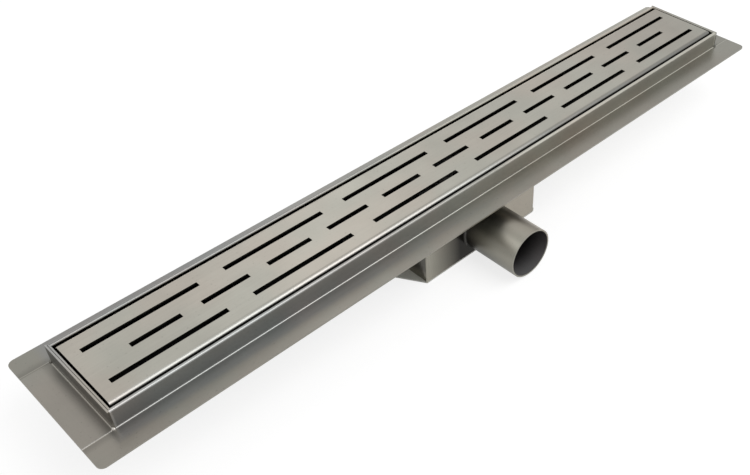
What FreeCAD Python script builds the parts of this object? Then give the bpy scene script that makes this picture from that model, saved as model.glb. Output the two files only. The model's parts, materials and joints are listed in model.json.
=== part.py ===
import FreeCAD, Part
import math
import os

# Linear shower drain, folded and welded from stainless sheet. Millimetres, +Z up.
# The origin is the centre of the trap's underside, straight below the trap's inlet.
# X runs along the channel, and the outlet pipe leaves towards -Y.

V = FreeCAD.Vector
X_AXIS = V(1, 0, 0)
Y_AXIS = V(0, 1, 0)
Z_AXIS = V(0, 0, 1)

# Sheet thicknesses
sheet = 1.2
grate_sheet = 1.5
base_sheet = 1.2

# Outlet pipe
pipe_radius = 20.0
pipe_wall = 1.2
pipe_length = 49.6
pipe_margin = 0.8
pipe_hole_clearance = 0.1
outlet_bead = 1.5
outlet_bead_depth = 0.3

# Trap box and the lugs of its base plate
trap_length = 120.0
trap_bend = 1.8
lug_length = 13.0
lug_slope_angle = 60.0
lug_corner_radius = 3.0
base_corner_radius = 5.0
corner_bead_radius = 0.8
corner_bead_inset = 0.3

# Channel, rim, curb and flange
opening_length = 601.0
opening_width = 66.8
channel_depth = 24.0
floor_bend = 2.0
hem_gap = 0.3
curb_height = 14.5
curb_foot_bend = 0.8
flange_width = 19.8
back_flange_width = 18.0
flange_corner_radius = 4.5
seam_gap = 0.1
rim_edge_radius = 0.3
seam_bead_radius = 0.8
seam_bead_rise = 0.15
seam_dab_radius = 1.4

# Grate
grate_side_gap = 1.9
grate_end_gap = 1.5
grate_bend = 1.5
grate_skirt = 11.0
slot_pitch = 100.0
slot_least_end_margin = 4.0
slot_width = 4.0
slot_row_spacing = 16.5
long_slot_length = 80.5
short_slot_length = 35.2

# Grate feet
foot_sheet = 1.2
foot_bend = 0.8
foot_strip_width = 16.0
foot_slot_margin = 2.0
foot_skirt_gap = 1.5
foot_end_margin = 22.5
foot_spacing = 150.0

# Trap inlet and the body of its lift-out insert
inlet_radius = 27.0
inlet_collar_height = 6.0
inlet_collar_bend = 1.0
insert_clearance = 0.4
insert_flange_radius = 31.0
insert_flange_thickness = 1.6
insert_wall = 1.8
insert_neck_wall = 3.4
insert_neck_height = 6.5
insert_sleeve_height = 10.0
insert_web = 3.0
drop_tube_radius = 19.0
drop_tube_end_gap = 5.0
seal_section_radius = 1.1
seal_height = 2.1
seal_clearance = 0.05

# Cup that holds the water seal, clipped under the insert's body
cup_clearance = 0.2
cup_wall = 1.6
cup_floor_gap = 3.0
cup_water_depth = 23.0
cup_leg_count = 3
cup_leg_angle = 26.0
clip_angle = 12.0
clip_side_angle = 1.0
clip_rise = 1.4
clip_height = 1.4

# Hair strainer
strainer_sheet = 0.8
strainer_recess_radius = 21.5
strainer_recess_depth = 1.4
strainer_clearance = 0.3
strainer_dish_depth = 5.0
strainer_hole_radius = 2.0
strainer_ring_step = 5.6
strainer_ring_count = 2
strainer_first_ring_holes = 6
handle_wire_radius = 1.25
handle_rise = 13.0
handle_corner_radius = 4.0

# Levels, faces and radii that follow from the sizes above
pipe_axis_z = base_sheet + pipe_margin + pipe_radius
floor_under_z = pipe_axis_z + pipe_radius + pipe_margin
floor_top_z = floor_under_z + sheet
rim_z = floor_top_z + channel_depth
flange_top_z = rim_z - curb_height
half_opening_x = opening_length / 2
half_opening_y = opening_width / 2
wall_outer_x = half_opening_x + sheet
wall_outer_y = half_opening_y + sheet
curb_inner_x = wall_outer_x + hem_gap
curb_inner_y = wall_outer_y + hem_gap
curb_outer_x = curb_inner_x + sheet
curb_outer_y = curb_inner_y + sheet
flange_outer_x = curb_outer_x + flange_width
flange_front_y = curb_outer_y + flange_width
flange_back_y = curb_outer_y + back_flange_width
trap_half_x = trap_length / 2
trap_half_y = wall_outer_y
grate_half_x = half_opening_x - grate_end_gap
grate_half_y = half_opening_y - grate_side_gap
grate_under_z = rim_z - grate_sheet
slot_room = 2 * (grate_half_x - slot_least_end_margin) - long_slot_length
slot_count = int(slot_room / slot_pitch) + 1
outer_foot_x = grate_half_x - grate_sheet - foot_end_margin
inner_foot_x = outer_foot_x - foot_spacing
cup_floor_z = base_sheet + cup_floor_gap
cup_floor_top_z = cup_floor_z + cup_wall
cup_rim_z = cup_floor_top_z + cup_water_depth
sleeve_radius = inlet_radius - insert_clearance
sleeve_end_z = floor_top_z - insert_sleeve_height
neck_end_z = floor_top_z - insert_neck_height
cup_radius = sleeve_radius - insert_wall - cup_clearance
clip_z = (sleeve_end_z + neck_end_z) / 2
seal_z = floor_top_z - inlet_collar_height + seal_height
seal_centre_radius = inlet_radius - seal_clearance - seal_section_radius
strainer_seat_z = floor_top_z + insert_flange_thickness - strainer_recess_depth
strainer_radius = strainer_recess_radius - strainer_clearance
drop_tube_bore = drop_tube_radius - insert_wall
strainer_dish_radius = drop_tube_bore - strainer_clearance


def mirrored_x(shape):
    return shape.mirror(V(0, 0, 0), X_AXIS)


def mirrored_y(shape):
    return shape.mirror(V(0, 0, 0), Y_AXIS)


def block(x0, x1, y0, y1, z0, z1):
    return Part.makeBox(x1 - x0, y1 - y0, z1 - z0, V(x0, y0, z0))


def disc(radius, z0, z1, x=0.0, y=0.0):
    return Part.makeCylinder(radius, z1 - z0, V(x, y, z0), Z_AXIS)


def ring_sector(inner, outer, z0, z1, angle, width):
    """Part of a ring about Z, width degrees wide and centred on this angle."""
    sector = Part.makeCylinder(outer, z1 - z0, V(0, 0, z0), Z_AXIS, width)
    sector.rotate(V(0, 0, 0), Z_AXIS, angle - width / 2)
    return sector.cut(disc(inner, z0 - 1, z1 + 1))


def turned(outline):
    """Solid of revolution about Z from a closed outline of (radius, z) points."""
    wire = Part.makePolygon([V(r, 0, z) for r, z in outline + outline[:1]])
    return Part.Face(wire).revolve(V(0, 0, 0), Z_AXIS, 360)


def folded_outline(path, bends, thickness):
    """Closed outline of a sheet of this thickness, folded along a centreline of 2D points.

    bends holds the inside radius of each fold, one for each inner point of the path.
    """
    half = thickness / 2
    points = [V(a, b, 0) for a, b in path]

    def beside(point, direction, distance):
        return point + V(-direction.y, direction.x, 0) * distance

    first = (points[1] - points[0]).normalize()
    last = (points[-1] - points[-2]).normalize()
    sides = {half: [], -half: []}
    for before, corner, after, inside in zip(points, points[1:], points[2:], bends):
        d_in = (corner - before).normalize()
        d_out = (after - corner).normalize()
        turn = math.atan2(d_in.cross(d_out).z, d_in.dot(d_out))
        way = math.copysign(1.0, turn)
        radius = inside + half
        tangent = radius * math.tan(abs(turn) / 2)
        arc_start = corner - d_in * tangent
        arc_end = corner + d_out * tangent
        centre = beside(arc_start, d_in, way * radius)
        outwards = (corner - centre).normalize()
        for distance, arcs in sides.items():
            arcs.append((beside(arc_start, d_in, distance),
                         centre + outwards * (radius - way * distance),
                         beside(arc_end, d_out, distance)))
    start = beside(points[0], first, half)
    turn_back = beside(points[-1], last, half)
    finish = beside(points[0], first, -half)
    back_arcs = [(c, b, a) for a, b, c in reversed(sides[-half])]
    edges = []
    here = start
    corners = sides[half] + [(turn_back, None, beside(points[-1], last, -half))] + back_arcs
    for arc_from, arc_middle, arc_to in corners + [(finish, None, start)]:
        if here.distanceToPoint(arc_from) > 1e-6:
            edges.append(Part.makeLine(here, arc_from))
        if arc_middle is None:
            edges.append(Part.makeLine(arc_from, arc_to))
        else:
            edges.append(Part.Arc(arc_from, arc_middle, arc_to).toShape())
        here = arc_to
    return Part.Face(Part.Wire(edges))


def folded_along_x(path, bends, thickness, x0, x1):
    """Sheet folded along (y, z) points and run from x0 to x1."""
    face = folded_outline(path, bends, thickness)
    face.rotate(V(0, 0, 0), V(1, 1, 1), 120)
    face.translate(V(x0, 0, 0))
    return face.extrude(V(x1 - x0, 0, 0))


def folded_along_y(path, bends, thickness, y0, y1):
    """Sheet folded along (x, z) points and run from y0 to y1."""
    face = folded_outline(path, bends, thickness)
    face.rotate(V(0, 0, 0), X_AXIS, 90)
    face.translate(V(0, y0, 0))
    return face.extrude(V(0, y1 - y0, 0))


def folded_along_z(path, bends, thickness, z0, z1):
    """Sheet folded along (x, y) points and run from z0 to z1."""
    face = folded_outline(path, bends, thickness)
    face.translate(V(0, 0, z0))
    return face.extrude(V(0, 0, z1 - z0))


def plate_with_round_corners(half_x, y0, y1, radius, z0, z1):
    plate = block(-half_x, half_x, y0, y1, z0, z1)
    upright = [e for e in plate.Edges if e.BoundBox.ZLength > (z1 - z0) / 2]
    return plate.makeFillet(radius, upright)


def make_inlet_collar():
    """Lip drawn down round the trap's inlet, with the bend that leads to the channel floor."""
    bend = inlet_collar_bend
    outer = inlet_radius + sheet
    centre = V(outer + bend, 0, floor_under_z - bend)
    diagonal = V(-1, 0, 1).normalize()
    low = floor_top_z - inlet_collar_height
    bore_top = V(inlet_radius, 0, centre.z)
    floor_top = V(centre.x, 0, floor_top_z)
    floor_under = V(centre.x, 0, floor_under_z)
    lip_top = V(outer, 0, centre.z)
    lip_inner = V(inlet_radius, 0, low)
    lip_outer = V(outer, 0, low)
    edges = [
        Part.makeLine(lip_inner, bore_top),
        Part.Arc(bore_top, centre + diagonal * (bend + sheet), floor_top).toShape(),
        Part.makeLine(floor_top, floor_under),
        Part.Arc(floor_under, centre + diagonal * bend, lip_top).toShape(),
        Part.makeLine(lip_top, lip_outer),
        Part.makeLine(lip_outer, lip_inner),
    ]
    return Part.Face(Part.Wire(edges)).revolve(V(0, 0, 0), Z_AXIS, 360)


def make_channel_body():
    """Trough, hemmed rim, curb and long flanges, folded from one sheet."""
    half = sheet / 2
    wall_y = half_opening_y + half
    curb_y = curb_inner_y + half
    floor_z = floor_top_z - half
    flange_z = flange_top_z - half
    side = [(wall_y, floor_z), (wall_y, rim_z - half), (curb_y, rim_z - half), (curb_y, flange_z)]
    front = [(-flange_front_y, flange_z)] + [(-y, z) for y, z in reversed(side)]
    path = front + side + [(flange_back_y, flange_z)]
    side_bends = [floor_bend, hem_gap / 2, hem_gap / 2, curb_foot_bend]
    body = folded_along_x(path, side_bends[::-1] + side_bends, sheet, -flange_outer_x, flange_outer_x)
    # The trough stops at the end walls and the curb at the end curbs: the flanges run on.
    for x0, clear_y in ((half_opening_x, wall_outer_y), (curb_inner_x, curb_outer_y)):
        end = block(x0, flange_outer_x + 1, -clear_y - seam_gap, clear_y + seam_gap, 0, rim_z + 1)
        body = body.cut(end).cut(mirrored_x(end))
    foot_y = curb_outer_y + curb_foot_bend
    foot = block(curb_inner_x, flange_outer_x + 1, -foot_y, foot_y, flange_top_z, rim_z + 1)
    body = body.cut(foot).cut(mirrored_x(foot))
    body = body.common(plate_with_round_corners(flange_outer_x, -flange_front_y, flange_back_y,
                                                flange_corner_radius, 0, rim_z + 1))
    hole_radius = inlet_radius + sheet + inlet_collar_bend
    body = body.cut(disc(hole_radius, floor_under_z - sheet, floor_top_z + sheet))
    return body.fuse(make_inlet_collar())


def make_end_wall():
    """Plate that closes the trough at +X and stands up to the rim."""
    plate = block(half_opening_x, wall_outer_x, -wall_outer_y, wall_outer_y, floor_under_z, rim_z)
    rim_edge = [e for e in plate.Edges
                if e.BoundBox.YLength > wall_outer_y and e.BoundBox.ZMin > rim_z - sheet
                and e.BoundBox.XMax < wall_outer_x - sheet / 2]
    return plate.makeFillet(rim_edge_radius, rim_edge)


def make_end_curb():
    """Curb and flange at +X, folded from one strip that lies between the two long flanges."""
    half = sheet / 2
    wall_x = curb_inner_x + half
    flange_z = flange_top_z - half
    path = [(wall_x, rim_z), (wall_x, flange_z), (flange_outer_x, flange_z)]
    curb = folded_along_y(path, [curb_foot_bend], sheet, -curb_outer_y, curb_outer_y)
    rim_edge = [e for e in curb.Edges
                if e.BoundBox.YLength > curb_outer_y and e.BoundBox.ZMin > rim_z - half
                and e.BoundBox.XMin > wall_x]
    return curb.makeFillet(rim_edge_radius, rim_edge)


def make_flange_welds():
    """Beads between the end flanges and the long ones, each with a dab at the curb's corner."""
    seam_y = curb_outer_y + seam_gap / 2
    run_z = flange_top_z - seam_bead_radius + seam_bead_rise
    run = Part.makeCylinder(seam_bead_radius, flange_width, V(curb_outer_x, seam_y, run_z), X_AXIS)
    dab = Part.makeSphere(seam_dab_radius, V(curb_outer_x, seam_y, flange_top_z))
    outside = block(curb_outer_x, flange_outer_x, curb_inner_y, flange_back_y, flange_top_z, rim_z)
    beside = block(curb_inner_x, curb_outer_x, curb_outer_y + seam_gap, flange_back_y,
                   flange_top_z, rim_z)
    bead = run.fuse(dab).common(outside.fuse(beside)).cut(make_end_curb())
    copies = [bead, mirrored_x(bead), mirrored_y(bead), mirrored_x(mirrored_y(bead))]
    return Part.makeCompound(copies)


def make_trap_wall():
    """Trap sides, one band with three folds, open at the -X -Y corner where it is welded.

    Its top edge is cut to the underside of the trough, up into the trough's long bends.
    """
    half = sheet / 2
    x = trap_half_x - half
    y = trap_half_y - half
    path = [(-trap_half_x, -y), (x, -y), (x, y), (-x, y), (-x, -trap_half_y + sheet + seam_gap)]
    band = folded_along_z(path, [trap_bend] * 3, sheet, base_sheet, floor_under_z + floor_bend)
    trough = block(-half_opening_x, half_opening_x, -wall_outer_y, wall_outer_y, floor_under_z, rim_z)
    lower = [e for e in trough.Edges if e.BoundBox.XLength > 1 and e.BoundBox.ZMax < rim_z - 1]
    trough = trough.makeFillet(floor_bend + sheet, lower)
    hole = Part.makeCylinder(pipe_radius + pipe_hole_clearance, 3 * sheet,
                             V(0, -trap_half_y - sheet, pipe_axis_z), Y_AXIS)
    return band.cut(trough).cut(hole)


def make_trap_corner_weld():
    """Bead down the trap's open corner."""
    inset = corner_bead_inset
    bead = Part.makeCylinder(corner_bead_radius, floor_under_z - base_sheet,
                             V(-trap_half_x + inset, -trap_half_y + inset, base_sheet), Z_AXIS)
    band = block(-trap_half_x, trap_half_x, -trap_half_y, trap_half_y, base_sheet, floor_under_z)
    return bead.cut(band)


def make_trap_base():
    """Base plate, cut back along the slope of a lug at each end.

    It is rounded under the three folds of the trap's wall, and pointed under the welded corner.
    """
    tip_y = trap_half_y - lug_length * math.tan(math.radians(lug_slope_angle))
    tip_x = trap_half_x + lug_length
    corner_list = [(-trap_half_x, -trap_half_y), (trap_half_x, -trap_half_y), (tip_x, -tip_y),
                   (tip_x, tip_y), (trap_half_x, trap_half_y), (-trap_half_x, trap_half_y),
                   (-tip_x, tip_y), (-tip_x, -tip_y)]
    corners = [V(x, y, 0) for x, y in corner_list]
    plate = Part.Face(Part.makePolygon(corners + corners[:1])).extrude(V(0, 0, base_sheet))
    tips = [e for e in plate.Edges
            if e.BoundBox.ZLength > base_sheet / 2 and abs(e.BoundBox.Center.x) > trap_half_x + 1]
    plate = plate.makeFillet(lug_corner_radius, tips)
    folded = [e for e in plate.Edges
              if e.BoundBox.ZLength > base_sheet / 2 and abs(e.BoundBox.Center.x) < trap_half_x + 1
              and max(e.BoundBox.Center.x, e.BoundBox.Center.y) > 0]
    return plate.makeFillet(base_corner_radius, folded)


def make_outlet_pipe():
    """Plain spigot through the trap's front wall, cut square, and melted away under its weld."""
    start = V(0, -trap_half_y + sheet, pipe_axis_z)
    outside = Part.makeCylinder(pipe_radius, pipe_length, start, -Y_AXIS)
    bore = Part.makeCylinder(pipe_radius - pipe_wall, pipe_length, start, -Y_AXIS)
    return outside.cut(bore).cut(make_outlet_weld())


def make_outlet_weld():
    """Fillet weld round the root of the spigot, which it bites into."""
    root = pipe_radius - outlet_bead_depth
    outline = [(root, 0), (pipe_radius + outlet_bead, 0), (pipe_radius, outlet_bead),
               (root, outlet_bead)]
    ring = turned(outline)
    ring.rotate(V(0, 0, 0), X_AXIS, 90)
    ring.translate(V(0, -trap_half_y, pipe_axis_z))
    return ring


def make_siphon_body():
    """Moulded insert: seat flange, sleeve with the seal's groove, and drop tube."""
    top = floor_top_z + insert_flange_thickness
    web_under = strainer_seat_z - insert_web
    tube_end = cup_floor_top_z + drop_tube_end_gap
    neck_bore = sleeve_radius - insert_neck_wall
    sleeve_bore = sleeve_radius - insert_wall
    groove = seal_centre_radius - seal_section_radius - seal_clearance
    groove_half = seal_section_radius + seal_clearance
    outline = [
        (insert_flange_radius, floor_top_z), (insert_flange_radius, top),
        (strainer_recess_radius, top), (strainer_recess_radius, strainer_seat_z),
        (drop_tube_bore, strainer_seat_z), (drop_tube_bore, tube_end),
        (drop_tube_radius, tube_end), (drop_tube_radius, web_under),
        (neck_bore, web_under), (neck_bore, neck_end_z),
        (sleeve_bore, neck_end_z), (sleeve_bore, sleeve_end_z),
        (sleeve_radius, sleeve_end_z), (sleeve_radius, seal_z - groove_half),
        (groove, seal_z - groove_half), (groove, seal_z + groove_half),
        (sleeve_radius, seal_z + groove_half), (sleeve_radius, floor_top_z),
    ]
    body = turned(outline)
    window_half = clip_height / 2 + cup_clearance
    for i in range(cup_leg_count):
        body = body.cut(ring_sector(sleeve_bore - 1, sleeve_radius + 1, clip_z - window_half,
                                    clip_z + window_half, i * 360 / cup_leg_count,
                                    clip_angle + 2 * clip_side_angle))
    return body


def make_siphon_cup():
    """Cup that keeps the water seal, hung by legs that clip into the sleeve's windows."""
    bore = cup_radius - cup_wall
    cup = disc(cup_radius, cup_floor_z, cup_rim_z).cut(disc(bore, cup_floor_top_z, cup_rim_z + 1))
    leg_top = neck_end_z - cup_clearance
    for i in range(cup_leg_count):
        angle = i * 360 / cup_leg_count
        leg = ring_sector(bore, cup_radius, cup_rim_z - cup_wall, leg_top, angle, cup_leg_angle)
        clip = ring_sector(cup_radius - cup_wall / 2, cup_radius + clip_rise, clip_z - clip_height / 2,
                           clip_z + clip_height / 2, angle, clip_angle)
        cup = cup.fuse(leg).fuse(clip)
    return cup.removeSplitter()


def make_siphon_seal():
    """O-ring between the insert's sleeve and the inlet's collar."""
    return Part.makeTorus(seal_centre_radius, seal_section_radius, V(0, 0, seal_z), Z_AXIS)


def make_hair_strainer():
    """Dished disc on the insert's seat, pierced with rings of round holes."""
    low = strainer_seat_z - strainer_dish_depth
    sphere = (strainer_dish_radius ** 2 + strainer_dish_depth ** 2) / (2 * strainer_dish_depth)
    half_turn = math.asin(strainer_dish_radius / sphere) / 2
    middle = V(sphere * math.sin(half_turn), 0, low + sphere * (1 - math.cos(half_turn)))
    up = V(0, 0, strainer_sheet)
    bottom = V(0, 0, low)
    brim = V(strainer_dish_radius, 0, strainer_seat_z)
    rim = V(strainer_radius, 0, strainer_seat_z)
    edges = [
        Part.makeLine(bottom, bottom + up),
        Part.Arc(bottom + up, middle + up, brim + up).toShape(),
        Part.makeLine(brim + up, rim + up),
        Part.makeLine(rim + up, rim),
        Part.makeLine(rim, brim),
        Part.Arc(brim, middle, bottom).toShape(),
    ]
    strainer = Part.Face(Part.Wire(edges)).revolve(V(0, 0, 0), Z_AXIS, 360)
    holes = [disc(strainer_hole_radius, low - 1, rim_z)]
    for ring in range(1, strainer_ring_count + 1):
        reach = ring * strainer_ring_step
        hole_count = ring * strainer_first_ring_holes
        for i in range(hole_count):
            angle = 2 * math.pi * i / hole_count
            holes.append(disc(strainer_hole_radius, low - 1, rim_z,
                              reach * math.cos(angle), reach * math.sin(angle)))
    return strainer.cut(Part.makeCompound(holes))


def make_strainer_handle():
    """Wire loop on the strainer's rim, to lift it out by."""
    foot_z = strainer_seat_z + strainer_sheet
    foot_x = (strainer_dish_radius + strainer_radius) / 2
    top_z = foot_z + handle_rise
    bend = handle_corner_radius
    diagonal = bend * (1 - math.sqrt(0.5))
    turn_z = top_z - bend
    turn_x = foot_x - bend
    edges = [
        Part.makeLine(V(-foot_x, 0, foot_z), V(-foot_x, 0, turn_z)),
        Part.Arc(V(-foot_x, 0, turn_z), V(-foot_x + diagonal, 0, top_z - diagonal),
                 V(-turn_x, 0, top_z)).toShape(),
        Part.makeLine(V(-turn_x, 0, top_z), V(turn_x, 0, top_z)),
        Part.Arc(V(turn_x, 0, top_z), V(foot_x - diagonal, 0, top_z - diagonal),
                 V(foot_x, 0, turn_z)).toShape(),
        Part.makeLine(V(foot_x, 0, turn_z), V(foot_x, 0, foot_z)),
    ]
    section = Part.Wire([Part.makeCircle(handle_wire_radius, V(-foot_x, 0, foot_z), Z_AXIS)])
    return Part.Wire(edges).makePipeShell([section], True, True)


def slot_centres():
    """Centre and length of each slot: long ones in the outer rows, short ones between them."""
    slots = []
    for i in range(slot_count):
        x = (i - (slot_count - 1) / 2) * slot_pitch
        slots += [(x, side * slot_row_spacing, long_slot_length) for side in (-1, 1)]
    short_count = 2 * slot_count - 1
    for i in range(short_count):
        slots.append(((i - (short_count - 1) / 2) * slot_pitch / 2, 0.0, short_slot_length))
    return slots


def make_grate_panel():
    """Slotted cover, folded down along both long sides."""
    half = grate_sheet / 2
    y = grate_half_y - half
    top = rim_z - half
    skirt_z = rim_z - grate_skirt
    path = [(-y, skirt_z), (-y, top), (y, top), (y, skirt_z)]
    panel = folded_along_x(path, [grate_bend] * 2, grate_sheet, -grate_half_x, grate_half_x)
    cutters = [block(x - length / 2, x + length / 2, row - slot_width / 2, row + slot_width / 2,
                     grate_under_z - 1, rim_z + 1) for x, row, length in slot_centres()]
    return panel.cut(Part.makeCompound(cutters))


def make_grate_end():
    """Plate that closes the cover at +X, between its folded sides."""
    y = grate_half_y - grate_sheet
    skirt_z = rim_z - grate_skirt
    plate = block(grate_half_x - grate_sheet, grate_half_x, -y, y, skirt_z, grate_under_z)
    upper = [e for e in plate.Edges if e.BoundBox.XLength > grate_sheet / 2
             and e.BoundBox.ZMin > skirt_z + grate_sheet]
    return plate.makeChamfer(grate_bend, upper)


def make_grate_feet():
    """Folded brackets under the cover's edges, each standing on the channel floor."""
    half = foot_sheet / 2
    leg_y = grate_half_y - grate_sheet - foot_skirt_gap - half
    tab_y = slot_row_spacing + slot_width / 2 + foot_slot_margin
    path = [(tab_y, grate_under_z - half), (leg_y, grate_under_z - half),
            (leg_y, floor_top_z + half), (tab_y, floor_top_z + half)]
    feet = []
    for x in (-outer_foot_x, -inner_foot_x, inner_foot_x, outer_foot_x):
        foot = folded_along_x(path, [foot_bend] * 2, foot_sheet,
                              x - foot_strip_width / 2, x + foot_strip_width / 2)
        feet += [foot, mirrored_y(foot)]
    return Part.makeCompound(feet)


end_wall = make_end_wall()
end_curb = make_end_curb()
grate_end = make_grate_end()
pieces = {
    "channel_body": make_channel_body(),
    "end_wall_left": mirrored_x(end_wall),
    "end_wall_right": end_wall,
    "end_curb_left": mirrored_x(end_curb),
    "end_curb_right": end_curb,
    "flange_welds": make_flange_welds(),
    "trap_wall": make_trap_wall(),
    "trap_corner_weld": make_trap_corner_weld(),
    "trap_base": make_trap_base(),
    "outlet_pipe": make_outlet_pipe(),
    "outlet_weld": make_outlet_weld(),
    "siphon_body": make_siphon_body(),
    "siphon_cup": make_siphon_cup(),
    "siphon_seal": make_siphon_seal(),
    "hair_strainer": make_hair_strainer(),
    "strainer_handle": make_strainer_handle(),
    "grate_panel": make_grate_panel(),
    "grate_end_left": mirrored_x(grate_end),
    "grate_end_right": grate_end,
    "grate_feet": make_grate_feet(),
}

os.makedirs("parts", exist_ok=True)
for name, shape in pieces.items():
    shape.exportStep("parts/" + name + ".step")
    box = shape.BoundBox
    print(name, "solids", len(shape.Solids), "volume", round(shape.Volume), "valid", shape.isValid(),
          "x", round(box.XMin, 2), round(box.XMax, 2), "y", round(box.YMin, 2), round(box.YMax, 2),
          "z", round(box.ZMin, 2), round(box.ZMax, 2))
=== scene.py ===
import json
import math

import bpy
from mathutils import Matrix, Vector

# Linear shower drain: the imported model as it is, with procedural finishes, a floor, light and a camera.
# Metres, +Z up. X runs along the channel, and the outlet leaves towards -Y.

MM = 0.001

# Camera, at the photograph's viewing angle. Its lens and shift are for a picture of 750 by 475 pixels.
CAMERA_AT = (-0.3982, -0.4124, 0.4860)
CAMERA_RIGHT = (0.6874, -0.7261, 0.0173)
CAMERA_UP = (0.4791, 0.4712, 0.7406)
CAMERA_LENS = 45.06
CAMERA_SENSOR = 36.0
CAMERA_SHIFT = (-0.1596, 0.0256)
CAMERA_NEAR = 0.01
CAMERA_FAR = 20.0

# World and floor
WORLD_GREY = 0.5
FLOOR_HALF = 6.0
FLOOR_DROP = 0.0002
FLOOR_ALBEDO = 0.4
FLOOR_GLOW = 0.76

# Lamps, with the radiance of the face, where 1 renders white
KEY_LAMP = {"at": (0.35, -0.85, 1.4), "towards": (0.0, 0.0, 0.06),
            "size_x": 1.4, "size_y": 1.1, "radiance": 2.0}
BACK_LAMP = {"at": (0.65, 1.14, 1.23), "towards": (-0.12, 0.0, 0.068),
             "size_x": 0.35, "size_y": 0.9, "radiance": 0.45}

# Colours of the finishes. A cool one is for the places that look cooler than the rest of a piece.
CHANNEL_COLOUR = (0.274, 0.262, 0.234)
END_COLOUR = (0.273, 0.262, 0.236)
CURB_COOL_COLOUR = (0.262, 0.262, 0.258)
GRATE_COLOUR = (0.408, 0.39, 0.349)
GRATE_COOL_COLOUR = (0.402, 0.393, 0.374)
# The strainer is painted nearly black, as shade in the trough.
STRAINER_COLOUR = (0.07, 0.068, 0.063)
TRAP_COLOUR = (0.307, 0.289, 0.247)
# The trap's base is painted light, as a painted reflection of the bright floor round it.
BASE_COLOUR = (0.66, 0.65, 0.61)
PIPE_COLOUR = (0.308, 0.292, 0.255)
BORE_COLOUR = (0.23, 0.22, 0.225)
# The outlet weld's colour is dark heat tint with painted shade under the flange.
WELD_COLOUR = (0.06, 0.058, 0.053)
SEAM_COLOUR = (0.36, 0.345, 0.32)
SIPHON_COLOUR = (0.03, 0.03, 0.032)
RUBBER_COLOUR = (0.02, 0.02, 0.02)

# Patterns of the finishes, whose scales are in features per metre. A span is the stretch of a pattern's
# values, from 0 to 1, over which its first tone or tint changes to its second.
GRAIN_ACROSS = 900.0
GRAIN_ALONG = 12.0
GRAIN_SPAN = (0.25, 0.75)
FINE_STREAKS = 0.015
CLOUDS = 28.0
CLOUD_SPAN = (0.3, 0.7)
CLOUD_TONES = (0.95, 1.05)
DRIFTS = 17.0
DRIFT_SPAN = (0.35, 0.65)
DRIFT_TINTS = ((0.975, 1.0, 0.985), (1.025, 0.995, 0.975))
SPECKS = 620.0
SPECK_SPAN = (0.70, 0.76)
SPECK_TONES = (1.0, 0.82)
RIPPLES = 900.0
RIPPLE_SPAN = (0.3, 0.7)
RIPPLE_TONES = (0.8, 1.2)
RIPPLE_BUMP = 0.25
# Roughness of the outlet weld where it is dark: heat tint with painted shade.
DARK_WELD_ROUGHNESS = 0.9
MOULDED_GRAIN = 900.0
MOULDED_BUMP = 0.05

# Small slants off the grain's axis, so that no face of the model is exactly square to the grain
GRAIN_SLANTS = (0.013, 0.021, 0.017)

# Planes of the model that the finishes and their painted light and shade follow
WALL_INNER_Y = 0.0334
END_INNER_X = 0.3005
CURB_OUTER_Y = 0.0361
CURB_OUTER_X = 0.3032
FLANGE_TOP_Z = 0.0535
TROUGH_FLOOR_Z = 0.0440
RIM_Z = 0.0680
GRATE_FLAT_Y = 0.0285
SLOTS_END_Y = 0.0250
GRATE_UNDERSIDE_Z = 0.0600
PIPE_AXIS_Z = 0.0220
TRAP_FRONT_Y = -0.0346
TRAP_LEFT_X = -0.0600

# A tone is how bright a place is painted beside the rest of its finish; most tones below are painted
# light and shade, in place of shade, shadows, reflections and highlights. A fade is the stretch over
# which a tone or a tint changes, along X where its name doesn't say otherwise.
MIDDLE_Y_FADE = (-0.001, 0.001)

# Painted shade in the trough, also under the grate's top face and on the front lip.
TROUGH_SHADE = 0.12
TROUGH_RIGHT_SHADE = 0.75
TROUGH_RIGHT_FADE = (0.18, END_INNER_X)

# Painted highlights along the rim's fold, painted a little darker at the back's left end, and a painted
# highlight on the ends' lip. LIP_FADE bounds the painted shade on the front lip.
RIM_FRONT_TONES = (1.42, 1.13, 1.85)
RIM_FRONT_LEFT_FADE = (-0.28, -0.12)
RIM_FRONT_RIGHT_FADE = (-0.01, 0.07)
RIM_BACK_TONES = (0.92, 1.65)
RIM_BACK_FADE = (-0.10, 0.15)
RIM_END_TONE = 1.35
LIP_FADE = (0.12, 0.29)
END_LIP_TONE = 2.5

# Painted light and shade on the curb: walls darker towards the left end, a painted highlight low on the
# walls, painted highlights on the corners and on the folds at the foot, and end walls painted darker
# higher up.
CURB_WALL_TONES = (0.75, 1.36)
CURB_WALL_FADE = (-0.13, 0.10)
CURB_WALL_FOOT_TONE = 1.14
CURB_WALL_FOOT_FADE = (-0.26, -0.18)
CURB_CORNER_TONE = 1.7
FOOT_TONE = 2.1
END_WALL_TONES = (1.0, 0.45)
END_FOOT_TONE = 1.6

# Painted shade on the flange towards the left end and beside the curb, a painted highlight along its back
# edge, and painted shade on the ends' flanges and on the seams, most by the curb. SEAM_DAB_TONE makes the
# dab brighter.
FLANGE_LEFT_TONE = 0.95
FLANGE_LEFT_FADE = (-0.30, 0.10)
FLANGE_NEAR_CURB_TONE = 0.78
FLANGE_NEAR_CURB_FADE = (0.06, 0.16)
FLANGE_BACK_EDGE_TONE = 1.4
FLANGE_BACK_EDGE_FADE = (-0.08, 0.10)
FLANGE_BACK_EDGE_Y_FADE = (0.0490, 0.0525)
END_FLANGE_TONE = 0.65
SEAM_TONES = (0.62, 0.88)
SEAM_DAB_TONE = 1.35

CHANNEL_COOL_FADE = (-0.20, 0.10)
FRONT_FLANGE_Y_FADE = (-0.049, -0.043)
CORNER_FADE = (-0.309, -0.300)
END_COOL_FADE = (-0.10, 0.10)
END_COOL_Y_FADE = (-0.01, 0.03)

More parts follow.
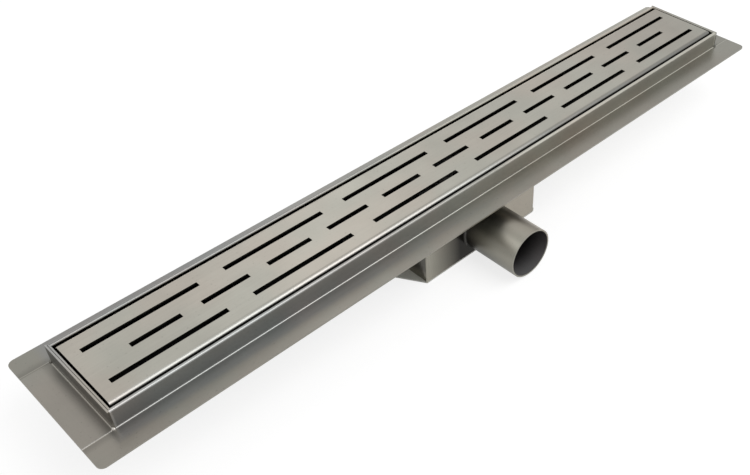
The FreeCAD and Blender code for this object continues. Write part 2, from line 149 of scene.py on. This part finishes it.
# Painted light and shade on the grate: darker towards the right end, a painted dark line where the front
# fold starts, the front fold darkened towards the right as a painted reflection, a painted highlight on
# the back fold, and painted shade on the slots' walls.
GRATE_RIGHT_TONE = 0.80
GRATE_RIGHT_FADE = (0.12, 0.32)
GRATE_BEND_LINE_SHADE = 0.75
GRATE_BEND_LINE_FADE = (-0.27, -0.15)
GRATE_FRONT_FOLD_TONE = 0.65
GRATE_FRONT_FOLD_FADE = (-0.02, 0.12)
GRATE_BACK_FOLD_TONE = 2.0
SLOT_WALL_TONE = 0.25
SLOT_WALL_UP_FADE = (0.3, 0.7)

# Painted shade at the top of the trap's left face under the flange, and painted shade and reflection of
# the pipe that darken the trap's front towards the pipe. WELD_SHINE_Z_FADE is where the weld's shiny line
# fades out.
TRAP_LEFT_TONES = (0.85, 0.30)
TRAP_LEFT_Z_FADE = (0.003, 0.013)
TRAP_FRONT_TONES = (0.95, 0.05)
TRAP_FRONT_FADE = (-0.057, -0.025)
TRAP_MIDDLE_FADE = (0.0, 0.02)
WELD_SHINE_Z_FADE = (0.008, 0.016)

# Painted shade and reflection on the pipe's root, underside and far side, painted highlights on its
# shoulders, and painted shade in the bore, at its top and deeper in.
PIPE_ROOT_TONE = 0.75
PIPE_ROOT_Y_FADE = (-0.070, -0.042)
PIPE_UNDER_TONES = (0.72, 0.22)
PIPE_UNDER_Y_FADE = (-0.080, -0.042)
PIPE_UNDER_UP_FADE = (-0.45, 0.25)
PIPE_SHOULDER_TONE = 1.5
PIPE_SHOULDER_Y_FADE = (-0.062, -0.052)
PIPE_SHOULDER_UP_FADES = ((0.35, 0.60), (0.75, 0.92))
PIPE_FAR_TONE = 0.55
PIPE_FAR_FADE = (0.001, 0.006)
PIPE_FAR_Y_FADE = (-0.076, -0.056)
PIPE_FAR_UP_FADE = (0.2, 0.5)
BORE_TOP_TONE = 0.30
BORE_DEEP_TONE = 0.15
BORE_DEEP_Y_FADE = (-0.082, -0.062)


def make_camera():
    data = bpy.data.cameras.new("camera")
    data.lens = CAMERA_LENS
    data.sensor_width = CAMERA_SENSOR
    data.shift_x, data.shift_y = CAMERA_SHIFT
    data.clip_start = CAMERA_NEAR
    data.clip_end = CAMERA_FAR
    camera = bpy.data.objects.new("camera", data)
    bpy.context.scene.collection.objects.link(camera)
    right = Vector(CAMERA_RIGHT).normalized()
    back = right.cross(Vector(CAMERA_UP)).normalized()
    up = back.cross(right)
    turn = Matrix((right, up, back)).transposed().to_4x4()
    camera.matrix_world = Matrix.Translation(CAMERA_AT) @ turn
    bpy.context.scene.camera = camera


class Tree:
    """Short hand for building a node tree."""

    def __init__(self, tree):
        self.tree = tree
        tree.nodes.clear()

    def add(self, kind, inputs=None, **settings):
        node = self.tree.nodes.new("ShaderNode" + kind)
        for key, value in settings.items():
            setattr(node, key, value)
        for key, value in (inputs or {}).items():
            if isinstance(value, bpy.types.NodeSocket):
                self.tree.links.new(value, node.inputs[key])
            else:
                node.inputs[key].default_value = value
        return node

    def math(self, operation, *values):
        return self.add("Math", dict(enumerate(values)), operation=operation).outputs[0]

    def times(self, *values):
        total = values[0]
        for value in values[1:]:
            total = self.math("MULTIPLY", total, value)
        return total

    def either(self, *masks):
        """The largest of some masks."""
        largest = masks[0]
        for mask in masks[1:]:
            largest = self.math("MAXIMUM", largest, mask)
        return largest

    def absolute(self, value):
        return self.math("ABSOLUTE", value)

    def ramp(self, value, start, end, before=0.0, after=1.0, shape="SMOOTHSTEP"):
        """From before, at start, to after, at end, as a smooth step where shape isn't given."""
        return self.add("MapRange", {"Value": value, 1: start, 2: end, 3: before, 4: after},
                        interpolation_type=shape).outputs[0]

    def rise(self, value, plane, start, end):
        """Smooth step from 0 to 1 between two distances past a plane, in millimetres."""
        return self.ramp(value, plane + start * MM, plane + end * MM)

    def fall(self, value, plane, start, end):
        """Smooth step from 1 to 0 between two distances past a plane, in millimetres."""
        return self.ramp(value, plane + start * MM, plane + end * MM, 1.0, 0.0)

    def blend(self, factor, first, second):
        """first where factor is 0, second where it is 1."""
        return self.ramp(factor, 0.0, 1.0, first, second, "LINEAR")

    def where(self, mask, tone):
        """tone where mask is 1, and 1 where it is 0."""
        return self.blend(mask, 1.0, tone)

    def mix(self, factor, first, second, blend_type="MIX"):
        """Mixed colour. Each side is a socket, or a colour with its alpha."""
        return self.add("Mix", {"Factor": factor, 6: first, 7: second}, data_type="RGBA",
                        blend_type=blend_type).outputs[2]

    def noise(self, at, scale, **inputs):
        """Cloudy pattern of values round 0.5."""
        return self.add("TexNoise", {"Vector": at, "Scale": scale, **inputs}).outputs["Fac"]

    def position(self):
        """Position in the row frame."""
        return self.add("NewGeometry").outputs["Position"]

    def place(self):
        """x, y and z in the row frame."""
        return self.add("SeparateXYZ", {0: self.position()}).outputs

    def facing_up(self):
        """1 on faces that look up, 0 on upright ones and -1 on those that look down."""
        normal = self.add("NewGeometry").outputs["Normal"]
        return self.add("SeparateXYZ", {0: normal}).outputs[2]


def new_material(name):
    material = bpy.data.materials.new(name)
    material.use_nodes = True
    return material, Tree(material.node_tree)


def opaque(colour):
    return tuple(colour) + (1,)


def seen_directly(t):
    """1 for what the camera sees, also by reflection or through something clear."""
    path = t.add("LightPath")
    return t.either(path.outputs["Is Camera Ray"], path.outputs["Is Glossy Ray"],
                    path.outputs["Is Transmission Ray"])


def make_world():
    world = bpy.data.worlds.new("studio")
    bpy.context.scene.world = world
    world.use_nodes = True
    t = Tree(world.node_tree)
    grey = t.add("Background", {"Color": (1, 1, 1, 1), "Strength": WORLD_GREY})
    white = t.add("Background", {"Color": (1, 1, 1, 1), "Strength": 1.0})
    mix = t.add("MixShader", {0: seen_directly(t), 1: grey.outputs[0], 2: white.outputs[0]})
    t.add("OutputWorld", {"Surface": mix.outputs[0]})


def make_floor():
    mesh = bpy.data.meshes.new("floor")
    corners = [(-FLOOR_HALF, -FLOOR_HALF, 0), (FLOOR_HALF, -FLOOR_HALF, 0),
               (FLOOR_HALF, FLOOR_HALF, 0), (-FLOOR_HALF, FLOOR_HALF, 0)]
    mesh.from_pydata(corners, [], [(0, 1, 2, 3)])
    floor = bpy.data.objects.new("floor", mesh)
    floor.location.z = -FLOOR_DROP
    bpy.context.scene.collection.objects.link(floor)
    material, t = new_material("floor")
    diffuse = t.add("BsdfDiffuse", {"Color": opaque((FLOOR_ALBEDO,) * 3)})
    glow = t.add("Emission", {"Color": (1, 1, 1, 1), "Strength": FLOOR_GLOW})
    both = t.add("AddShader", {0: diffuse.outputs[0], 1: glow.outputs[0]})
    mix = t.add("MixShader", {0: seen_directly(t), 1: diffuse.outputs[0], 2: both.outputs[0]})
    t.add("OutputMaterial", {"Surface": mix.outputs[0]})
    mesh.materials.append(material)


def area_light(name, at, towards, size_x, size_y, radiance):
    """Soft rectangular lamp."""
    data = bpy.data.lights.new(name, "AREA")
    data.shape = "RECTANGLE"
    data.size = size_x
    data.size_y = size_y
    data.energy = radiance * math.pi * size_x * size_y
    light = bpy.data.objects.new(name, data)
    light.location = at
    light.rotation_euler = (Vector(towards) - Vector(at)).to_track_quat("-Z", "Y").to_euler()
    bpy.context.scene.collection.objects.link(light)


def trough_shade(t):
    """Painted shade: very dim on the faces that look into the trough, less so beside the grate's right
    end.
    """
    x, y, z = t.place()
    inside = t.times(t.fall(t.absolute(y), WALL_INNER_Y, 0.2, 0.6),
                     t.fall(t.absolute(x), END_INNER_X, 0.2, 0.6),
                     t.rise(z, TROUGH_FLOOR_Z, -0.8, -0.2), t.fall(z, RIM_Z, -1.6, -1.0))
    beside_grate = t.ramp(z, GRATE_UNDERSIDE_Z, RIM_Z - 1.2 * MM)
    beside_tone = t.ramp(x, *TROUGH_RIGHT_FADE, TROUGH_SHADE, TROUGH_RIGHT_SHADE)
    return t.where(inside, t.blend(beside_grate, TROUGH_SHADE, beside_tone))


def flange_left_shade(t, x):
    """Painted shade: a flange and its seams are painted a little darker towards the left end."""
    return t.ramp(x, *FLANGE_LEFT_FADE, FLANGE_LEFT_TONE, 1.0)


def channel_painted_light(t):
    """Painted light and shade: a dim trough and front lip, painted highlights on the folds and the curb's
    corners, a curb and flange painted darker towards the left end, painted shade beside the curb and a
    painted highlight along the back edge.
    """
    x, y, z = t.place()
    side = t.absolute(y)
    front = t.ramp(y, *MIDDLE_Y_FADE, 1.0, 0.0)

    on_rim = t.rise(z, RIM_Z, -1.4, -0.4)
    left, middle, right = RIM_FRONT_TONES
    front_left_tone = t.ramp(x, *RIM_FRONT_LEFT_FADE, left, middle)
    front_tone = t.blend(t.ramp(x, *RIM_FRONT_RIGHT_FADE), front_left_tone, right)
    rim_tone = t.blend(front, t.ramp(x, *RIM_BACK_FADE, *RIM_BACK_TONES), front_tone)
    lip = t.times(front, t.fall(side, WALL_INNER_Y, 0.6, 1.1),
                  t.ramp(t.absolute(x), *LIP_FADE, 1.0, 0.0), t.rise(z, TROUGH_FLOOR_Z, 0.0, 1.0))

    wall = t.times(t.rise(z, FLANGE_TOP_Z, 0.6, 1.2), t.fall(z, RIM_Z, -1.4, -0.6))
    wall_foot = t.times(t.ramp(x, *CURB_WALL_FOOT_FADE), t.fall(z, FLANGE_TOP_Z, 3.0, 8.0))
    corner = t.rise(t.absolute(x), CURB_OUTER_X, -2.8, -1.8)
    wall_tone = t.times(t.ramp(x, *CURB_WALL_FADE, *CURB_WALL_TONES),
                        t.where(wall_foot, CURB_WALL_FOOT_TONE), t.where(corner, CURB_CORNER_TONE))
    foot = t.times(t.rise(side, CURB_OUTER_Y, 0.1, 0.4), t.fall(side, CURB_OUTER_Y, 0.8, 1.2),
                   t.rise(z, FLANGE_TOP_Z, -0.1, 0.1))

    flange = t.fall(z, FLANGE_TOP_Z, 0.2, 0.6)
    near_curb = t.times(flange, t.fall(side, CURB_OUTER_Y, 1.0, 7.0),
                        t.ramp(x, *FLANGE_NEAR_CURB_FADE, 1.0, 0.0))
    back_edge = t.times(flange, t.ramp(y, *FLANGE_BACK_EDGE_Y_FADE), t.ramp(x, *FLANGE_BACK_EDGE_FADE))

    return t.times(trough_shade(t), t.where(on_rim, rim_tone), t.where(lip, TROUGH_SHADE),
                   t.where(foot, FOOT_TONE), t.where(wall, wall_tone),
                   t.where(flange, flange_left_shade(t, x)), t.where(near_curb, FLANGE_NEAR_CURB_TONE),
                   t.where(back_edge, FLANGE_BACK_EDGE_TONE))


def end_painted_light(t):
    """Painted light and shade: a dim trough and upright faces, painted highlights on the rim, lip and
    foot, and a flange painted dimmer by the curb.
    """
    x, _, z = t.place()
    side = t.absolute(x)
    on_rim = t.rise(z, RIM_Z, -0.6, -0.2)
    lip = t.times(t.fall(side, END_INNER_X, 0.1, 0.3), t.rise(z, RIM_Z, -1.6, -1.0),
                  t.fall(z, RIM_Z, -0.3, -0.1))
    foot = t.times(t.rise(side, CURB_OUTER_X, 0.1, 0.4), t.fall(side, CURB_OUTER_X, 0.8, 1.2))
    wall = t.times(t.rise(z, FLANGE_TOP_Z, 0.8, 1.2), t.fall(z, RIM_Z, -0.6, -0.2),
                   t.rise(side, END_INNER_X, 1.0, 1.3))
    wall_tone = t.blend(t.rise(z, FLANGE_TOP_Z, 1.5, 7.0), *END_WALL_TONES)
    near_curb = t.times(t.fall(z, FLANGE_TOP_Z, 0.2, 0.6), t.fall(side, CURB_OUTER_X, 1.2, 9.0))
    return t.times(trough_shade(t), t.where(on_rim, RIM_END_TONE), t.where(lip, END_LIP_TONE),
                   t.where(foot, END_FOOT_TONE), t.where(wall, wall_tone),
                   t.where(near_curb, END_FLANGE_TONE))


def seam_painted_shade(t):
    """Painted shade: nearly as bright as the flange beside it, and painted dimmer by the curb."""
    x, _, _ = t.place()
    off_curb = t.rise(t.absolute(x), CURB_OUTER_X, 1.2, 9.0)
    return t.times(flange_left_shade(t, x), t.blend(off_curb, *SEAM_TONES))


def dab_tone(t):
    """Brighter on the dab at the curb's corner."""
    x, _, _ = t.place()
    return t.where(t.fall(t.absolute(x), CURB_OUTER_X, 1.4, 2.4), SEAM_DAB_TONE)


def grate_painted_light(t):
    """Painted light and shade: darker towards the right end, dim below the top face, with a painted dark
    line where the front fold starts, a painted reflection dimming that fold towards the right, a painted
    highlight on the back fold and painted shade on the slots' walls.
    """
    x, y, z = t.place()
    back = t.ramp(y, *MIDDLE_Y_FADE)
    back_top = t.rise(z, RIM_Z, -2.2, -1.3)
    top = t.blend(back, t.rise(z, RIM_Z, -1.7, -0.7), back_top)
    # Painted shade: a dark line where the front fold starts.
    bend_line_shade = t.times(t.rise(y, -GRATE_FLAT_Y, -1.2, -0.2), t.fall(y, -GRATE_FLAT_Y, 0.2, 1.0),
                     t.ramp(x, *GRATE_BEND_LINE_FADE))
    front_fold = t.times(t.fall(y, -GRATE_FLAT_Y, -1.0, 0.0), t.ramp(x, *GRATE_FRONT_FOLD_FADE))
    back_fold = t.times(t.rise(y, GRATE_FLAT_Y, 0.3, 2.0), back_top)
    slot_wall = t.times(t.fall(t.absolute(y), SLOTS_END_Y, 0.0, 1.0),
                        t.ramp(t.absolute(t.facing_up()), *SLOT_WALL_UP_FADE, 1.0, 0.0))
    return t.times(t.blend(top, TROUGH_SHADE, 1.0), t.ramp(x, *GRATE_RIGHT_FADE, 1.0, GRATE_RIGHT_TONE),
                   t.where(bend_line_shade, GRATE_BEND_LINE_SHADE), t.where(slot_wall, SLOT_WALL_TONE),
                   t.where(front_fold, GRATE_FRONT_FOLD_TONE), t.where(back_fold, GRATE_BACK_FOLD_TONE))


def channel_warmth(t):
    """Cool at the back and on the curb towards the left end, and warm elsewhere."""
    x, y, _ = t.place()
    front_flange = t.ramp(y, *FRONT_FLANGE_Y_FADE, 1.0, 0.0)
    corners = t.ramp(x, *CORNER_FADE, 1.0, 0.0)
    return t.either(t.ramp(x, *CHANNEL_COOL_FADE), front_flange, corners)


def end_warmth(t):
    """Cool on the curb towards the back of the left end."""
    x, y, z = t.place()
    flange = t.fall(z, FLANGE_TOP_Z, 0.2, 1.0)
    return t.either(flange, t.ramp(y, *END_COOL_Y_FADE, 1.0, 0.0), t.ramp(x, *END_COOL_FADE))


def grate_warmth(t):
    """Cool on the rolled front edge."""
    _, y, _ = t.place()
    return t.rise(y, -GRATE_FLAT_Y, -1.2, 0.0)


def trap_painted_shade(t):
    """Painted shade at the top of its left face, under the flange, and painted shade and reflection of
    the pipe that make its front steadily dimmer towards the left of the pipe.
    """
    x, y, z = t.place()
    left = t.fall(x, TRAP_LEFT_X, 0.1, 0.8)
    front = t.times(t.ramp(x, *TRAP_MIDDLE_FADE, 1.0, 0.0), t.rise(x, TRAP_LEFT_X, 0.3, 1.0),
                    t.fall(y, TRAP_FRONT_Y, 0.2, 0.8))
    return t.times(t.where(left, t.ramp(z, *TRAP_LEFT_Z_FADE, *TRAP_LEFT_TONES)),
                   t.where(front, t.ramp(x, *TRAP_FRONT_FADE, *TRAP_FRONT_TONES, "LINEAR")))


def pipe_painted_light(t):
    """Painted shade on its underside and at its root, most of all towards +X, with painted highlights on
    its shoulders there.
    """
    x, y, _ = t.place()
    up = t.facing_up()
    under = t.ramp(y, *PIPE_UNDER_Y_FADE, *PIPE_UNDER_TONES)
    over = t.ramp(y, *PIPE_ROOT_Y_FADE, 1.0, PIPE_ROOT_TONE)
    low, high = PIPE_SHOULDER_UP_FADES
    shoulder = t.times(t.ramp(up, *low), t.ramp(up, *high, 1.0, 0.0),
                       t.ramp(y, *PIPE_SHOULDER_Y_FADE, 1.0, 0.0))
    far_side = t.times(t.ramp(x, *PIPE_FAR_FADE), t.ramp(up, *PIPE_FAR_UP_FADE))
    return t.times(t.blend(t.ramp(up, *PIPE_UNDER_UP_FADE), under, over),
                   t.where(shoulder, PIPE_SHOULDER_TONE),
                   t.where(far_side, t.ramp(y, *PIPE_FAR_Y_FADE, 1.0, PIPE_FAR_TONE)))


def bore_painted_shade(t):
    """Painted shade: darker at the top than at the bottom, and darker the deeper it is."""
    _, y, z = t.place()
    return t.times(t.where(t.rise(z, PIPE_AXIS_Z, -12.0, 14.0), BORE_TOP_TONE),
                   t.ramp(y, *BORE_DEEP_Y_FADE, 1.0, BORE_DEEP_TONE))


def bead_shine(t):
    """A thin bright line round the outlet's weld, which fades out towards the bottom."""
    _, y, z = t.place()
    return t.times(t.rise(y, TRAP_FRONT_Y, -1.2, -1.0), t.fall(y, TRAP_FRONT_Y, -0.6, -0.4),
                   t.ramp(z, *WELD_SHINE_Z_FADE))


def steel(name, colour, grain_axis, roughness, spread=0.6, streaks=0.04, metallic=1.0, tone=None,
          cool_colour=None, warmth=None, ground_flat=False):
    """Brushed stainless steel, with its grain along one axis of the row frame.

    Its highlights spread across the grain, by as much as spread says, and streaks is the contrast
    of the grain. Its colour drifts between warm and cool in clouds, and it has a few small specks.
    What is ground_flat catches the light as the level sheet around it does. What tone returns is painted
    light and shade, laid on by place.
    """
    material, t = new_material(name)
    position = t.position()
    stretch = [GRAIN_ACROSS] * 3
    stretch["XYZ".index(grain_axis)] = GRAIN_ALONG
    grain_at = t.add("Mapping", {"Vector": position, "Scale": stretch}).outputs[0]
    grain = t.noise(grain_at, 1.0, Detail=3.0, Roughness=0.6)
    cloud = t.noise(position, CLOUDS, Detail=3.0, Roughness=0.55)
    drift = t.noise(position, DRIFTS, Detail=2.0, Roughness=0.5)
    dirt = t.noise(position, SPECKS, Detail=1.0, Roughness=0.5)

    shade = t.ramp(cloud, *CLOUD_SPAN, *CLOUD_TONES, "LINEAR")
    streak = t.ramp(grain, *GRAIN_SPAN, 1.0 - streaks, 1.0 + streaks, "LINEAR")
    speck = t.ramp(dirt, *SPECK_SPAN, *SPECK_TONES)
    factor = t.times(shade, streak, speck)
    # Painted light and shade by place.
    if tone:
        factor = t.times(factor, tone(t))
    cool_tint, warm_tint = DRIFT_TINTS
    tint = t.mix(t.ramp(drift, *DRIFT_SPAN), opaque(cool_tint), opaque(warm_tint))
    ground = opaque(colour)
    if warmth:
        ground = t.mix(warmth(t), opaque(cool_colour), ground)
    base = t.mix(1.0, t.mix(1.0, ground, tint, "MULTIPLY"), factor, "MULTIPLY")

    rough = t.ramp(grain, *GRAIN_SPAN, roughness - streaks, roughness + streaks, "LINEAR")
    bump = t.add("Bump", {"Strength": streaks / 2, "Distance": MM, "Height": grain})
    normal = t.add("NewGeometry").outputs["Normal"]
    if ground_flat:
        normal = t.add("CombineXYZ", {2: 1.0}).outputs[0]
        t.tree.links.new(normal, bump.inputs["Normal"])
    along = list(GRAIN_SLANTS)
    along["XYZ".index(grain_axis)] = 1.0
    across = t.add("VectorMath", {0: normal, 1: along}, operation="CROSS_PRODUCT")
    shader = t.add("BsdfPrincipled", {"Base Color": base, "Metallic": metallic, "Roughness": rough,
                                      "Normal": bump.outputs[0], "Anisotropic": spread,
                                      "Tangent": across.outputs[0]})
    t.add("OutputMaterial", {"Surface": shader.outputs[0]})
    return material


def weld(name, colour, roughness, shine=None, tone=None):
    """Weld bead with fine ripples, dark and rough where shine is 0: heat tint with painted shade."""
    material, t = new_material(name)
    ripple = t.noise(t.position(), RIPPLES, Detail=2.0)
    bump = t.add("Bump", {"Strength": RIPPLE_BUMP, "Distance": 0.4 * MM, "Height": ripple})
    factor = t.ramp(ripple, *RIPPLE_SPAN, *RIPPLE_TONES, "LINEAR")
    if tone:
        factor = t.times(factor, tone(t))
    metallic = 1.0
    if shine:
        metallic = shine(t)
        roughness = t.blend(metallic, DARK_WELD_ROUGHNESS, roughness)
    shader = t.add("BsdfPrincipled", {"Base Color": t.mix(1.0, opaque(colour), factor, "MULTIPLY"),
                                      "Metallic": metallic, "Roughness": roughness,
                                      "Normal": bump.outputs[0]})
    t.add("OutputMaterial", {"Surface": shader.outputs[0]})
    return material


def plain(name, colour, roughness):
    """Plastic or rubber with a fine moulded grain."""
    material, t = new_material(name)
    grain = t.noise(t.position(), MOULDED_GRAIN, Detail=2.0)
    bump = t.add("Bump", {"Strength": MOULDED_BUMP, "Distance": MM, "Height": grain})
    shader = t.add("BsdfPrincipled", {"Base Color": opaque(colour), "Roughness": roughness,
                                      "Normal": bump.outputs[0]})
    t.add("OutputMaterial", {"Surface": shader.outputs[0]})
    return material


def dress(piece, *materials, choose=None):
    """Give a piece its materials. choose(centre, normal) returns the number of the one for a face."""
    mesh = piece.data
    mesh.materials.clear()
    for material in materials:
        mesh.materials.append(material)
    if choose:
        for face in mesh.polygons:
            face.material_index = choose(piece.matrix_world @ face.center, face.normal)


def is_bore(centre, normal):
    outwards = Vector((centre.x, 0.0, centre.z - PIPE_AXIS_Z))
    return int(outwards.normalized().dot(normal) < -0.5)


def is_front_left(centre, _):
    return int(centre.x < 0 and centre.y < 0)


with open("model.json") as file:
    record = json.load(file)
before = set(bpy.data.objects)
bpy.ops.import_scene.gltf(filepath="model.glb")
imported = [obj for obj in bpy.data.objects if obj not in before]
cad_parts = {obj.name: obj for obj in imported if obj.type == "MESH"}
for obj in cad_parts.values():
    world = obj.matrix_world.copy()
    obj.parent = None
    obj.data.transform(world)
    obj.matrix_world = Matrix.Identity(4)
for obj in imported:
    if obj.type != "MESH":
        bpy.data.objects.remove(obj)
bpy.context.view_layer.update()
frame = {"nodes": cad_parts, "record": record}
nodes = frame["nodes"]

make_camera()
make_world()
make_floor()
area_light("key_softbox", **KEY_LAMP)
area_light("back_softbox", **BACK_LAMP)

channel_steel = steel("channel_steel", CHANNEL_COLOUR, "X", roughness=0.30, streaks=FINE_STREAKS,
                      tone=channel_painted_light, cool_colour=CURB_COOL_COLOUR, warmth=channel_warmth)
end_steel = steel("end_steel", END_COLOUR, "Y", roughness=0.30, streaks=FINE_STREAKS,
                  tone=end_painted_light, cool_colour=CURB_COOL_COLOUR, warmth=end_warmth)
ground_seam = steel("ground_seam", CHANNEL_COLOUR, "X", roughness=0.30, streaks=FINE_STREAKS,
                    tone=seam_painted_shade, ground_flat=True)
seam_metal = weld("seam_metal", SEAM_COLOUR, roughness=0.35, tone=dab_tone)
grate_steel = steel("grate_steel", GRATE_COLOUR, "X", roughness=0.32,
                    tone=grate_painted_light, cool_colour=GRATE_COOL_COLOUR, warmth=grate_warmth)
trap_steel = steel("trap_steel", TRAP_COLOUR, "Z", roughness=0.20, spread=0.3, streaks=FINE_STREAKS,
                   tone=trap_painted_shade)
corner_seam = steel("corner_seam", TRAP_COLOUR, "Z", roughness=0.30, spread=0.3, streaks=FINE_STREAKS)
base_steel = steel("base_steel", BASE_COLOUR, "X", roughness=0.5, metallic=0.1)
pipe_steel = steel("pipe_steel", PIPE_COLOUR, "Y", roughness=0.38, spread=0.3, streaks=FINE_STREAKS,
                   tone=pipe_painted_light)
pipe_bore = steel("pipe_bore", BORE_COLOUR, "Y", roughness=0.5, metallic=0.4, tone=bore_painted_shade)
weld_metal = weld("weld_metal", WELD_COLOUR, roughness=0.38, shine=bead_shine)
strainer_steel = steel("strainer_steel", STRAINER_COLOUR, "X", roughness=0.45)
siphon_plastic = plain("siphon_plastic", SIPHON_COLOUR, roughness=0.7)
seal_rubber = plain("seal_rubber", RUBBER_COLOUR, roughness=0.6)

finishes = {
    "channel_steel": channel_steel, "grate_steel": grate_steel, "trap_steel": trap_steel,
    "pipe_steel": pipe_steel, "strainer_steel": strainer_steel, "weld_metal": weld_metal,
    "siphon_plastic": siphon_plastic, "seal_rubber": seal_rubber,
}
for part in frame["record"]["subparts"]:
    dress(nodes[part["node"]], finishes[part["material_slot"]])
for node in ("end_wall_left", "end_wall_right", "end_curb_left", "end_curb_right"):
    dress(nodes[node], end_steel)
dress(nodes["trap_base"], base_steel)
dress(nodes["trap_corner_weld"], corner_seam)
dress(nodes["outlet_pipe"], pipe_steel, pipe_bore, choose=is_bore)
dress(nodes["flange_welds"], ground_seam, seam_metal, choose=is_front_left)

bpy.context.scene.view_settings.view_transform = "Standard"
